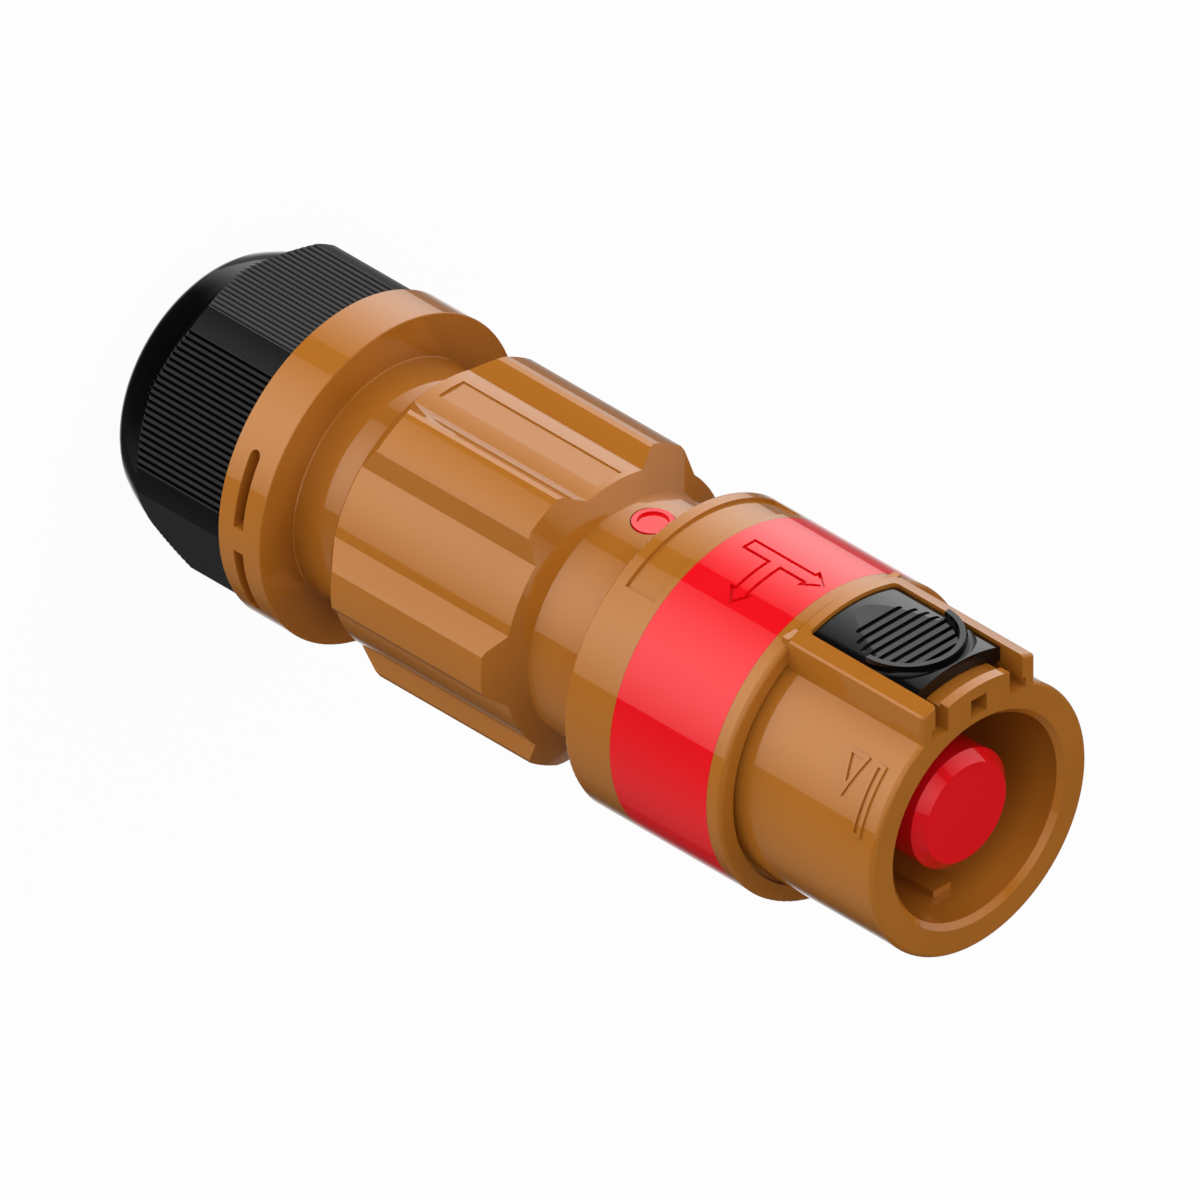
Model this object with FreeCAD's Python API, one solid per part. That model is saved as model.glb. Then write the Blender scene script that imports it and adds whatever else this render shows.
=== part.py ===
import FreeCAD, Part
import math
import os

# Single pole cam lock power connector, cable end down and mouth up, in millimetres.
# The axis is Z, the origin is the centre of the gland nut's end face, and the lock slide faces -Y.

# Lengths along the axis, from the cable end to the rim of the mouth
gland_nut_length = 35.1
gland_nut_gap = 0.4
flange_length = 10.6
rear_neck_length = 13.1
grip_length = 47.7
front_neck_length = 16.5
collar_length = 40.0
sleeve_length = 34.6

# Front shell
mouth_radius = 21.1
mouth_wall = 6.6
rim_rounding = 0.9
mouth_chamfer = 1.1
mouth_depth = 58.0
collar_step = 4.4
collar_rounding = 1.0
collar_rear_rounding = 0.45
collar_groove_width = 0.9
collar_groove_depth = 1.5
web_thickness = 8.0
spigot_gap = 1.2
spigot_wall = 2.8
spigot_length = 25.4
key_width = 4.5
key_height = 1.5
key_depth = 9.5
notice_recess_depth = 0.6
notice_recess_width = 7.4
notice_recess_start = 1.6
notice_recess_angle = 73.0

# Coding band
band_width = 24.9
band_thickness = 1.2
band_offset = 3.4
band_split = 0.8
band_clearance = 0.05

# Saddle, bridge and the tracks of the lock slide
saddle_width = 29.0
saddle_rise = 0.9
saddle_rounding = 0.8
saddle_root = 1.0
pocket_width = 22.4
pocket_back_wall = 2.1
pocket_rounding = 1.0
bridge_width = 15.8
bridge_rise = 2.3
bridge_lip = 2.2
bridge_step = 0.8
track_wall = 2.6
track_undercut = 0.85
track_undercut_height = 2.1
bolt_hole_width = 4.0
bolt_hole_height = 3.7
bolt_hole_end_gap = 0.3

# Lock slide
slide_clearance = 0.3
slide_travel = 3.0
slide_crown_thickness = 2.8
slide_leg_height = 3.6
slide_foot_start = 6.5
slide_foot_end = 2.0
slide_lug_length = 5.0
slide_lug_width = 2.6
slide_lug_setback = 13.5
pad_setback = 12.9
pad_radius = 9.6
pad_drop = 1.7
pad_ramp_length = 21.5
pad_rim_width = 1.1
pad_rim_height = 0.2
pad_groove_count = 8
pad_groove_pitch = 2.08
pad_groove_width = 0.95
pad_groove_depth = 0.7
pad_groove_inset = 0.3
scoop_radius = 1.0
scoop_depth = 1.8
bolt_tip_depth = 3.7
bolt_length = 22.3
bolt_side_clearance = 0.3
bolt_chamfer = 0.4

# Leaf spring under the slide
leaf_length = 6.0
leaf_width = 2.6
leaf_thickness = 0.3
leaf_rise = 0.7
leaf_setback = 26.0
leaf_side_clearance = 0.2

# Contact
cap_tip_depth = 3.3
cap_length = 24.0
cap_step = 0.2
cap_chamfer = 2.0
cap_wall = 4.0
contact_radius = 12.0
contact_stem_radius = 6.5
louvre_groove_length = 11.0
louvre_groove_depth = 0.8
louvre_groove_start = 12.0
louvre_thickness = 0.95
louvre_count = 24
louvre_slot_width = 0.9
louvre_hoop = 1.6
web_bore_clearance = 0.3
shoulder_step = 1.8
shoulder_thickness = 5.0
barrel_wall = 4.5
barrel_length = 48.0
barrel_bore_radius = 11.0
barrel_bore_depth = 42.0
barrel_chamfer = 1.0
fit_clearance = 0.1
contact_seal_width = 2.4
contact_seal_depth = 1.5
contact_seal_offset = 3.0
contact_key_width = 4.0
contact_key_depth = 1.0
contact_key_sink = 1.5
retainer_thickness = 1.5
retainer_groove_depth = 1.1
retainer_gap = 7.0
retainer_inner_gap = 0.5
retainer_ear_radius = 1.5
retainer_ear_hole = 0.7
clamp_screw_radius = 5.0
clamp_screw_length = 6.0
clamp_screw_spacing = 16.0
clamp_screw_start = 9.0
clamp_screw_count = 2
clamp_screw_hex = 5.0
clamp_screw_hex_depth = 3.5

# Joint between the shells
neck_wall = 3.3
neck_overlap = 8.0
neck_clearance = 0.2
neck_seat_gap = 0.2
neck_rounding = 0.45
seal_ring_gap = 0.02
shell_seal_width = 2.2
shell_seal_groove = 1.2
shell_seal_drop = 9.4
lock_screw_drop = 9.2
lock_screw_radius = 2.45
lock_screw_length = 3.8
lock_screw_bite = 1.7
lock_screw_hex = 2.45
lock_screw_hex_depth = 1.9
insert_wall = 1.3
insert_length = 2.1
plug_radius = 4.0
plug_clearance = 0.25
plug_recess_radius = 3.0
plug_recess_depth = 0.5
plug_sink = 0.05

# Grip and rear of the back shell
grip_ridge_count = 6
grip_wall = 3.7
grip_ridge_height = 3.6
grip_tip_angle = 16.6
grip_valley_angle = 28.4
grip_front_chamfer = 4.9
grip_rear_chamfer = 4.2
grip_edge_chamfer = 0.65
grip_recess_width = 6.4
grip_recess_length = 40.7
grip_recess_start = 3.9
grip_recess_depth = 0.5
rear_neck_wall = 2.9
flange_width = 8.1
flange_fillet = 0.2
flange_rounding = 0.25
flange_rear_rounding = 0.12
lanyard_slot_width = 2.4
lanyard_slot_height = 5.0
lanyard_slot_depth = 6.6
lanyard_slot_reach = 17.65
lanyard_bridge_width = 5.3
lanyard_bridge_thickness = 2.6
gland_thread_wall = 2.5
gland_thread_length = 15.5
gland_thread_chamfer = 1.0

# Cable gland
claw_shoulder = 0.9
claw_wall = 2.4
claw_seat_clearance = 0.1
claw_base_length = 8.0
claw_finger_overhang = 6.0
claw_lip = 2.5
claw_lip_thickness = 1.5
claw_finger_count = 12
claw_slot_width = 1.6
claw_finger_chamfer = 1.6
claw_finger_taper = 3.2
claw_shoulder_drop = 2.5
seal_wall = 4.3
seal_clearance = 0.1
seal_rounding = 1.5
seal_top_rounding = 0.5
seal_overhang = 0.8
slip_ring_thickness = 2.5
slip_ring_recess = 0.2
slip_ring_wall = 3.3
slip_ring_gap = 0.3
slip_ring_rounding = 0.5
nut_lip = 0.5
nut_hole_rounding = 1.2
nut_thread_clearance = 0.35
nut_corner_wall = 7.05
nut_corner_angle = 9.6
nut_dome_height = 13.8
nut_brow_chamfer = 3.0
nut_nose_wall = 6.9
nut_nose_height = 3.8
nut_nose_bulge = 0.5
nut_dome_bulge = 0.15
nut_end_wall = 2.5
nut_groove_count = 22
nut_groove_width = 0.62
nut_groove_depth = 0.45
nut_side_count = 6

# Levels worked out from the lengths
nut_top = gland_nut_length
flange_bottom = nut_top + gland_nut_gap
flange_top = flange_bottom + flange_length
grip_bottom = flange_top + rear_neck_length
grip_top = grip_bottom + grip_length
collar_bottom = grip_top + front_neck_length
collar_top = collar_bottom + collar_length
rim = collar_top + sleeve_length

web_top = rim - mouth_depth
web_bottom = web_top - web_thickness
neck_top = collar_bottom + neck_overlap
neck_seat = neck_top + neck_seat_gap
spigot_bottom = neck_top - spigot_length
band_top = collar_top - band_offset
band_bottom = band_top - band_width

# Radii built up from the bores and walls
cap_radius = contact_radius + cap_step
web_bore = contact_radius + web_bore_clearance
barrel_radius = barrel_bore_radius + barrel_wall
shoulder_radius = barrel_radius + shoulder_step
spigot_bore = shoulder_radius + spigot_gap
spigot_radius = spigot_bore + spigot_wall
neck_bore = spigot_radius + neck_clearance
neck_radius = neck_bore + neck_wall
neck_socket_radius = neck_radius + neck_clearance
sleeve_radius = mouth_radius + mouth_wall
collar_radius = sleeve_radius + collar_step
band_seat_radius = collar_radius - band_thickness
saddle_radius = collar_radius + saddle_rise
track_floor = mouth_radius + track_wall
bridge_radius = sleeve_radius + bridge_rise
slide_under_radius = bridge_radius - bridge_step + slide_clearance
slide_crown_radius = slide_under_radius + slide_crown_thickness
slide_skirt_height = track_floor + slide_leg_height
rear_neck_radius = neck_bore + rear_neck_wall
grip_valley_radius = neck_radius + grip_wall
grip_tip_radius = grip_valley_radius + grip_ridge_height
claw_radius = neck_bore + claw_shoulder
claw_bore = claw_radius - claw_wall
claw_seat_radius = claw_radius + claw_seat_clearance
gland_thread_radius = claw_seat_radius + gland_thread_wall
flange_radius = gland_thread_radius + flange_width
lanyard_slot_floor = flange_radius - lanyard_slot_depth
nut_thread_bore = gland_thread_radius + nut_thread_clearance
nut_corner_radius = nut_thread_bore + nut_corner_wall
nut_hole_radius = claw_bore - nut_lip
nut_nose_radius = nut_hole_radius + nut_nose_wall
nut_end_radius = nut_hole_radius + nut_end_wall
slip_ring_inner_radius = nut_hole_radius + slip_ring_recess
slip_ring_radius = slip_ring_inner_radius + slip_ring_wall
seal_radius = claw_bore - seal_clearance
seal_bore = seal_radius - seal_wall

Vector = FreeCAD.Vector
origin = Vector(0, 0, 0)
upward = Vector(0, 0, 1)
lockward = Vector(0, -1, 0)


# Shape helpers

def rounded_outline(corners, place):
    """Close an outline through (a, b) or (a, b, rounding) corners; place turns (a, b) into a point."""
    count = len(corners)
    edges = []
    joints = []
    for index, corner in enumerate(corners):
        here = place(corner[0], corner[1])
        before = place(*corners[index - 1][:2])
        after = place(*corners[(index + 1) % count][:2])
        rounding = corner[2] if len(corner) > 2 else 0.0
        if rounding <= 0:
            joints.append((here, None, here))
            continue
        to_before = (before - here).normalize()
        to_after = (after - here).normalize()
        half_angle = to_before.getAngle(to_after) / 2
        reach = rounding / math.tan(half_angle)
        bisector = (to_before + to_after).normalize()
        crown = here + bisector * (rounding / math.sin(half_angle) - rounding)
        joints.append((here + to_before * reach, crown, here + to_after * reach))
    for index, (start, crown, end) in enumerate(joints):
        if crown is not None:
            edges.append(Part.Arc(start, crown, end).toShape())
        next_start = joints[(index + 1) % count][0]
        if end.distanceToPoint(next_start) > 1e-6:
            edges.append(Part.LineSegment(end, next_start).toShape())
    return Part.Face(Part.Wire(edges))


def turned(corners):
    """Revolve a closed (radius, height) outline about the axis."""
    face = rounded_outline(corners, lambda radius, height: Vector(radius, 0, height))
    return face.revolve(origin, upward, 360)


def tube(outer_radius, inner_radius, bottom, top):
    outer = Part.makeCylinder(outer_radius, top - bottom, upward * bottom)
    return outer.cut(Part.makeCylinder(inner_radius, top - bottom, upward * bottom))


def block(x_min, x_max, y_min, y_max, bottom, top):
    return Part.makeBox(x_max - x_min, y_max - y_min, top - bottom, Vector(x_min, y_min, bottom))


def on_circle(radius, angle, height):
    """A point at an angle in degrees from the lock side, turning towards +X."""
    turn = math.radians(angle)
    return Vector(radius * math.sin(turn), -radius * math.cos(turn), height)


def arch_height(radius, x):
    return math.sqrt(radius ** 2 - x ** 2)


def torus_seal(groove_radius, wall_radius, height):
    """An O-ring that just touches the floor of its groove and the wall round it."""
    section = (wall_radius - groove_radius) / 2 - seal_ring_gap
    return Part.makeTorus((wall_radius + groove_radius) / 2, section, upward * height)


def save(name, shape):
    shape = shape.removeSplitter()
    for solid in shape.Solids:
        if not solid.isValid() or solid.Volume <= 0:
            raise ValueError(name + " has a bad solid")
    shape = Part.Compound(shape.Solids) if len(shape.Solids) > 1 else shape.Solids[0]
    shape.exportStep("parts/" + name + ".step")
    box = shape.BoundBox
    print(name, len(shape.Solids), round(shape.Volume, 1), round(box.ZMin, 2), round(box.ZMax, 2))
    return shape


# Front shell

def saddle_block():
    """The raised block on the sleeve that carries the tracks of the lock slide."""
    half = saddle_width / 2
    foot = arch_height(sleeve_radius, half) - saddle_root
    raw = block(-half, half, -saddle_radius, -foot, collar_top, rim)
    raw = raw.common(Part.makeCylinder(saddle_radius, rim - collar_top, upward * collar_top))
    shoulder = -arch_height(saddle_radius, half) + 0.1
    edges = []
    for edge in raw.Edges:
        centre = edge.CenterOfMass
        along_top = edge.BoundBox.ZLength > 1 and centre.y < shoulder
        round_front = edge.BoundBox.ZLength < 0.01 and centre.z > rim - 0.01 and centre.y < -foot - 0.1
        if along_top or round_front:
            edges.append(edge)
    raw = raw.makeFillet(saddle_rounding, edges)
    filler = block(-half, half, -collar_radius + collar_rounding * 2, -foot,
                   collar_top - collar_groove_depth, collar_top)
    return raw.fuse(filler)


def bridge_core():
    """The arched tongue that stays standing between the two tracks."""
    half = bridge_width / 2
    tall = block(-half, half, -saddle_radius, 0, pocket_back, rim)
    low = Part.makeCylinder(bridge_radius - bridge_step, rim - pocket_back, upward * pocket_back)
    lip = Part.makeCylinder(bridge_radius, bridge_lip, upward * (rim - bridge_lip))
    return tall.common(low.fuse(lip))


def rounded_back(shape, radius):
    """Round the two corners at a block's cable end that run towards the lock side."""
    corners = [edge for edge in shape.Edges
               if edge.BoundBox.ZMax < shape.BoundBox.ZMin + 0.01 and edge.BoundBox.XLength < 0.01]
    return shape.makeFillet(radius, corners)


def slide_pocket():
    """The room cut for the lock slide: an open pocket with an undercut track on each side."""
    half = pocket_width / 2
    above = saddle_radius + 1
    room = rounded_back(block(-half, half, -above, -track_floor, pocket_back, rim), pocket_rounding)
    wide = half + track_undercut
    tracks = block(-wide, wide, -track_floor - track_undercut_height, -track_floor, pocket_back, rim)
    return room.fuse(tracks).cut(bridge_core())


def notice_recess():
    """The shallow bare field in the collar behind the coding band."""
    top = band_bottom - notice_recess_start
    bottom = top - notice_recess_width
    floor = collar_radius - notice_recess_depth
    sector = tube(collar_radius + 1, floor, bottom, top)
    half = notice_recess_angle / 2
    reach = collar_radius * 2
    wedge = Part.makePolygon([upward * bottom, on_circle(reach, -half, bottom),
                              on_circle(reach, half, bottom), upward * bottom])
    return sector.common(Part.Face(wedge).extrude(upward * (top - bottom)))


def bolt_room():
    """The square hole for the latch bolt, the slot for the slide's lug and the leaf spring's pocket."""
    half = bolt_hole_width / 2
    hole = block(-half, half, -track_floor - bolt_hole_height, -track_floor,
                 bolt_bottom - bolt_hole_end_gap, rim)
    lug_half = slide_lug_width / 2 + slide_clearance
    slot = block(-lug_half, lug_half, -bridge_radius, -track_floor - bolt_hole_height / 2,
                 lug_bottom - slide_clearance, lug_top + slide_travel + slide_clearance)
    leaf_half = leaf_width / 2 + leaf_side_clearance
    pocket = block(-leaf_half, leaf_half, -bridge_radius, -leaf_floor,
                   leaf_bottom - leaf_side_clearance, leaf_top + leaf_side_clearance)
    return hole.fuse(slot).fuse(pocket)


def front_shell():
    seal_top = neck_top - shell_seal_drop
    seal_floor = spigot_radius - shell_seal_groove
    retainer_floor = spigot_bore + retainer_groove_depth
    shell = turned([
        (mouth_radius + mouth_chamfer, rim),
        (sleeve_radius, rim, rim_rounding),
        (sleeve_radius, collar_top - collar_groove_depth),
        (sleeve_radius + collar_groove_width, collar_top - collar_groove_depth),
        (sleeve_radius + collar_groove_width, collar_top),
        (collar_radius, collar_top, collar_rounding),
        (collar_radius, band_top),
        (band_seat_radius, band_top),
        (band_seat_radius, band_bottom),
        (collar_radius, band_bottom),
        (collar_radius, collar_bottom, collar_rear_rounding),
        (neck_socket_radius, collar_bottom),
        (neck_socket_radius, neck_seat),
        (spigot_radius, neck_seat),
        (spigot_radius, seal_top),
        (seal_floor, seal_top),
        (seal_floor, seal_top - shell_seal_width),
        (spigot_radius, seal_top - shell_seal_width),
        (spigot_radius, spigot_bottom, rim_rounding),
        (spigot_bore, spigot_bottom),
        (spigot_bore, retainer_bottom - fit_clearance),
        (retainer_floor, retainer_bottom - fit_clearance),
        (retainer_floor, shoulder_bottom),
        (spigot_bore, shoulder_bottom),
        (spigot_bore, web_bottom),
        (web_bore, web_bottom),
        (web_bore, web_top),
        (mouth_radius, web_top),
        (mouth_radius, rim - mouth_chamfer),
    ])
    shell = shell.fuse(saddle_block())
    shell = shell.cut(slide_pocket())
    key = block(-key_width / 2, key_width / 2, mouth_radius - key_height, mouth_radius + mouth_chamfer,
                web_top, rim - key_depth)
    shell = shell.fuse(key)
    shell = shell.cut(bolt_room())
    shell = shell.cut(notice_recess())
    keyway_half = contact_key_width / 2
    shell = shell.cut(block(-keyway_half, keyway_half, 0, spigot_bore + contact_key_depth,
                            shoulder_bottom, web_bottom))
    screw_hole = Part.makeCylinder(lock_screw_radius + fit_clearance, spigot_wall,
                                   lockward * (lock_screw_foot - fit_clearance) + upward * lock_screw_level,
                                   lockward)
    return shell.cut(screw_hole)


def coding_band():
    inner = band_seat_radius + band_clearance
    band = tube(collar_radius, inner, band_bottom + band_clearance, band_top - band_clearance)
    split = block(-band_split / 2, band_split / 2, 0, collar_radius + 1, band_bottom, band_top)
    return band.cut(split)


# Lock slide, its bolt and its spring

pocket_back = collar_top + pocket_back_wall
slide_front = rim - bridge_lip - slide_clearance - slide_travel
slide_back = pocket_back + slide_clearance
slide_half = pocket_width / 2 - slide_clearance
lug_top = slide_front - slide_lug_setback
lug_bottom = lug_top - slide_lug_length
lug_foot = track_floor + bolt_hole_height / 2
bolt_top = rim - bolt_tip_depth
bolt_bottom = bolt_top - bolt_length
pad_centre = slide_front - pad_setback
leaf_top = rim - leaf_setback
leaf_bottom = leaf_top - leaf_length
leaf_floor = bridge_radius - bridge_step - leaf_rise - leaf_thickness


def ramp_height(level):
    """Height of the thumb pad's sloping floor at a level; it meets the crown at the back."""
    share = (pad_centre + pad_radius - level) / pad_ramp_length
    return slide_crown_radius - pad_drop * (1 - share)


def pad_disc(radius, low, high):
    """A disc about the pad's axis, which points to the lock side."""
    return Part.makeCylinder(radius, high - low, Vector(0, -low, pad_centre), lockward)


def pad_hollow():
    """The room above the sloping pad: round at the front, running out in the crown at the back."""
    front = pad_centre + pad_radius
    back = front - pad_ramp_length
    high = slide_crown_radius + 2
    corners = [
        Vector(-slide_half, -ramp_height(front), front),
        Vector(-slide_half, -ramp_height(back), back),
        Vector(-slide_half, -high, back),
        Vector(-slide_half, -high, front),
    ]
    wedge = Part.Face(Part.makePolygon(corners + corners[:1])).extrude(Vector(slide_half * 2, 0, 0))
    behind = block(-slide_half, slide_half, -high, -track_floor, back, pad_centre)
    return wedge.common(pad_disc(pad_radius, track_floor, high).fuse(behind))


def pad_grooves():
    """Round-ended grip grooves across the pad, shorter towards the ends of its circle."""
    half_width = pad_groove_width / 2
    above = slide_crown_radius + 1
    grooves = []
    for index in range(pad_groove_count):
        offset = (index - (pad_groove_count - 1) / 2) * pad_groove_pitch
        level = pad_centre + offset
        end = arch_height(pad_radius - pad_groove_inset, offset) - half_width
        floor = ramp_height(level) - pad_groove_depth
        groove = block(-end, end, -above, -floor, level - half_width, level + half_width)
        for x in (-end, end):
            foot = Vector(x, -floor, level)
            groove = groove.fuse(Part.makeCylinder(half_width, above - floor, foot, lockward))
        grooves.append(groove)
    return Part.Compound(grooves)


def lock_slide():
    length = slide_front - slide_back
    crown = Part.makeCylinder(slide_crown_radius, length, upward * slide_back)
    body = block(-slide_half, slide_half, -slide_crown_radius, -slide_skirt_height, slide_back, slide_front)
    body = rounded_back(body, pocket_rounding - slide_clearance).common(crown)
    skirt_inside = bridge_width / 2 + slide_clearance
    under = block(-skirt_inside, skirt_inside, -slide_crown_radius, 0, slide_back, slide_front)
    under = under.common(Part.makeCylinder(slide_under_radius, length, upward * slide_back))
    body = body.cut(under)
    # crescent rim round the front of the pad, and the hollow in front of it
    ring_outer = pad_radius + pad_rim_width
    crest = slide_crown_radius + pad_rim_height
    ring = pad_disc(ring_outer, slide_under_radius + fit_clearance, crest)
    front_half = block(-slide_half, slide_half, -crest - 1, -track_floor, pad_centre, slide_front)
    scoop_axis = slide_crown_radius - scoop_depth + scoop_radius
    scoop_centre = Vector(0, -scoop_axis, pad_centre)
    scoop = Part.makeTorus(ring_outer + scoop_radius, scoop_radius, scoop_centre, lockward)
    above = pad_disc(ring_outer + scoop_radius * 2, scoop_axis, crest)
    above = above.cut(pad_disc(ring_outer, scoop_axis, crest))
    body = body.cut(scoop.fuse(above).common(front_half))
    body = body.fuse(ring.common(front_half))
    body = body.cut(pad_hollow())
    body = body.cut(pad_grooves())
    # legs with feet that run in the undercut tracks
    foot_top = slide_front - slide_foot_start
    foot_bottom = slide_back + slide_foot_end
    foot_half = pocket_width / 2 + track_undercut - slide_clearance
    low = track_floor + slide_clearance
    foot_high = track_floor + track_undercut_height - slide_clearance
    for side in (-1, 1):
        leg = sorted((side * skirt_inside, side * slide_half))
        foot = sorted((side * skirt_inside, side * foot_half))
        body = body.fuse(block(leg[0], leg[1], -slide_skirt_height - 0.5, -low, foot_bottom, foot_top))
        body = body.fuse(block(foot[0], foot[1], -foot_high, -low, foot_bottom, foot_top))
    lug_half = slide_lug_width / 2
    return body.fuse(block(-lug_half, lug_half, -slide_under_radius - 0.5, -lug_foot, lug_bottom, lug_top))


def latch_bolt():
    half = bolt_hole_width / 2 - bolt_side_clearance
    low = track_floor + bolt_side_clearance
    high = track_floor + bolt_hole_height - bolt_side_clearance
    bar = block(-half, half, -high, -low, bolt_bottom, bolt_top)
    tip_edges = [edge for edge in bar.Edges if edge.BoundBox.ZMin > bolt_top - 0.01]
    bar = bar.makeChamfer(bolt_chamfer, tip_edges)
    notch = block(-half, half, -high, -lug_foot + fit_clearance,
                  lug_bottom - fit_clearance, lug_top + fit_clearance)
    return bar.cut(notch)


def detent_spring():
    """A bowed leaf: both faces are arcs through the two ends and the crest."""
    half = leaf_width / 2
    middle = (leaf_top + leaf_bottom) / 2

    def bow(lift):
        start = Vector(-half, -leaf_floor - lift, leaf_bottom)
        crest = Vector(-half, -leaf_floor - leaf_rise - lift, middle)
        end = Vector(-half, -leaf_floor - lift, leaf_top)
        return start, Part.Arc(start, crest, end).toShape(), end

    low_start, low_arc, low_end = bow(0)
    high_start, high_arc, high_end = bow(leaf_thickness)
    tail = Part.LineSegment(low_start, high_start).toShape()
    tip = Part.LineSegment(low_end, high_end).toShape()
    outline = Part.Wire(Part.__sortEdges__([low_arc, high_arc, tail, tip]))
    return Part.Face(outline).extrude(Vector(leaf_width, 0, 0))


# Contact and what holds it

cap_top = rim - cap_tip_depth
cap_bottom = cap_top - cap_length
stem_top = cap_top - cap_wall
louvre_top = cap_bottom - louvre_groove_start
louvre_bottom = louvre_top - louvre_groove_length
louvre_floor = contact_radius - louvre_groove_depth
contact_seal_top = web_top - contact_seal_offset
contact_seal_floor = contact_radius - contact_seal_depth
shoulder_bottom = web_bottom - shoulder_thickness
retainer_bottom = shoulder_bottom - retainer_thickness
barrel_bottom = shoulder_bottom - barrel_length
barrel_bore_top = barrel_bottom + barrel_bore_depth


def contact_cap():
    stem_bore = contact_stem_radius + fit_clearance
    return turned([
        (0, cap_top),
        (cap_radius - cap_chamfer, cap_top),
        (cap_radius, cap_top - cap_chamfer),
        (cap_radius, cap_bottom),
        (stem_bore, cap_bottom),
        (stem_bore, stem_top),
        (0, stem_top),
    ])


def clamp_screw_levels():
    first = barrel_bottom + clamp_screw_start
    return [first + index * clamp_screw_spacing for index in range(clamp_screw_count)]


def contact_pin():
    pin = turned([
        (0, stem_top - fit_clearance),
        (contact_stem_radius, stem_top - fit_clearance),
        (contact_stem_radius, cap_bottom),
        (contact_radius, cap_bottom),
        (contact_radius, louvre_top),
        (louvre_floor, louvre_top),
        (louvre_floor, louvre_bottom),
        (contact_radius, louvre_bottom),
        (contact_radius, contact_seal_top),
        (contact_seal_floor, contact_seal_top),
        (contact_seal_floor, contact_seal_top - contact_seal_width),
        (contact_radius, contact_seal_top - contact_seal_width),
        (contact_radius, web_bottom),
        (shoulder_radius, web_bottom),
        (shoulder_radius, shoulder_bottom),
        (barrel_radius, shoulder_bottom),
        (barrel_radius, barrel_bottom, barrel_chamfer),
        (barrel_bore_radius, barrel_bottom, barrel_chamfer),
        (barrel_bore_radius, barrel_bore_top),
        (0, barrel_bore_top),
    ])
    half = contact_key_width / 2
    pin = pin.cut(block(-half, half, shoulder_radius - contact_key_sink, shoulder_radius + 1,
                        shoulder_bottom, web_bottom))
    for level in clamp_screw_levels():
        pin = pin.cut(Part.makeCylinder(clamp_screw_radius + fit_clearance / 2, barrel_radius,
                                        upward * level, lockward))
    return pin


def contact_band():
    """A sprung louvre strip: two hoops joined by narrow slats."""
    outer = louvre_floor + louvre_thickness
    low = louvre_bottom + fit_clearance
    high = louvre_top - fit_clearance
    band = tube(outer, louvre_floor + fit_clearance / 2, low, high)
    half = louvre_slot_width / 2
    slot = block(-half, half, 0, outer + 1, low + louvre_hoop, high - louvre_hoop)
    slots = []
    for index in range(louvre_count):
        copy = slot.copy()
        copy.rotate(origin, upward, index * 360 / louvre_count)
        slots.append(copy)
    return band.cut(Part.Compound(slots))


def contact_key():
    half = contact_key_width / 2 - fit_clearance / 2
    return block(-half, half, shoulder_radius - contact_key_sink + fit_clearance / 2,
                 spigot_bore + contact_key_depth - fit_clearance / 2, shoulder_bottom, web_bottom)


def contact_retainer():
    outer = spigot_bore + retainer_groove_depth - fit_clearance
    inner = barrel_radius + retainer_inner_gap
    ring = tube(outer, inner, retainer_bottom, shoulder_bottom)
    half = retainer_gap / 2
    ring = ring.cut(block(-half, half, -outer - 1, 0, retainer_bottom, shoulder_bottom))
    middle = (outer + inner) / 2
    turn = math.degrees((half + retainer_ear_radius) / middle)
    for angle in (-turn, turn):
        ring = ring.cut(Part.makeCylinder(retainer_ear_hole, retainer_thickness,
                                          on_circle(middle, angle, retainer_bottom)))
    return ring


def contact_seal():
    return torus_seal(contact_seal_floor, web_bore, contact_seal_top - contact_seal_width / 2)


def hex_socket(across_flats, depth, mouth):
    """A hexagon socket that opens to the lock side, with its mouth centred on a point."""
    corner = across_flats / math.sqrt(3)
    points = []
    for index in range(7):
        turn = math.radians(index * 60)
        points.append(mouth + Vector(corner * math.cos(turn), 0, corner * math.sin(turn)))
    return Part.Face(Part.makePolygon(points)).extrude(lockward * -depth)


def clamp_screws():
    screws = []
    for level in clamp_screw_levels():
        mouth = lockward * (barrel_bore_radius + fit_clearance + clamp_screw_length) + upward * level
        body = Part.makeCylinder(clamp_screw_radius, clamp_screw_length, mouth, lockward * -1)
        screws.append(body.cut(hex_socket(clamp_screw_hex, clamp_screw_hex_depth, mouth)))
    return Part.Compound(screws)


# Joint between the shells

lock_screw_level = collar_bottom - lock_screw_drop
lock_screw_foot = spigot_radius - lock_screw_bite
insert_radius = lock_screw_radius + insert_wall
plug_floor = neck_bore + insert_length


def shell_seal():
    level = neck_top - shell_seal_drop - shell_seal_width / 2
    return torus_seal(spigot_radius - shell_seal_groove, neck_bore, level)


def radial_pin(radius, inner_end, outer_end):
    """A round bar that points to the lock side at the level of the lock screw."""
    start = lockward * inner_end + upward * lock_screw_level
    return Part.makeCylinder(radius, outer_end - inner_end, start, lockward)


def lock_screw():
    outer_end = lock_screw_foot + lock_screw_length
    body = radial_pin(lock_screw_radius, lock_screw_foot, outer_end)
    mouth = lockward * outer_end + upward * lock_screw_level
    return body.cut(hex_socket(lock_screw_hex, lock_screw_hex_depth, mouth))


def thread_insert():
    bush = radial_pin(insert_radius, neck_bore, plug_floor)
    return bush.cut(radial_pin(lock_screw_radius + fit_clearance / 2, neck_bore, plug_floor))


def screw_plug():
    top = neck_radius - plug_sink
    disc = radial_pin(plug_radius, plug_floor, top)
    return disc.cut(radial_pin(plug_recess_radius, top - plug_recess_depth, top))


# Back shell

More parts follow.
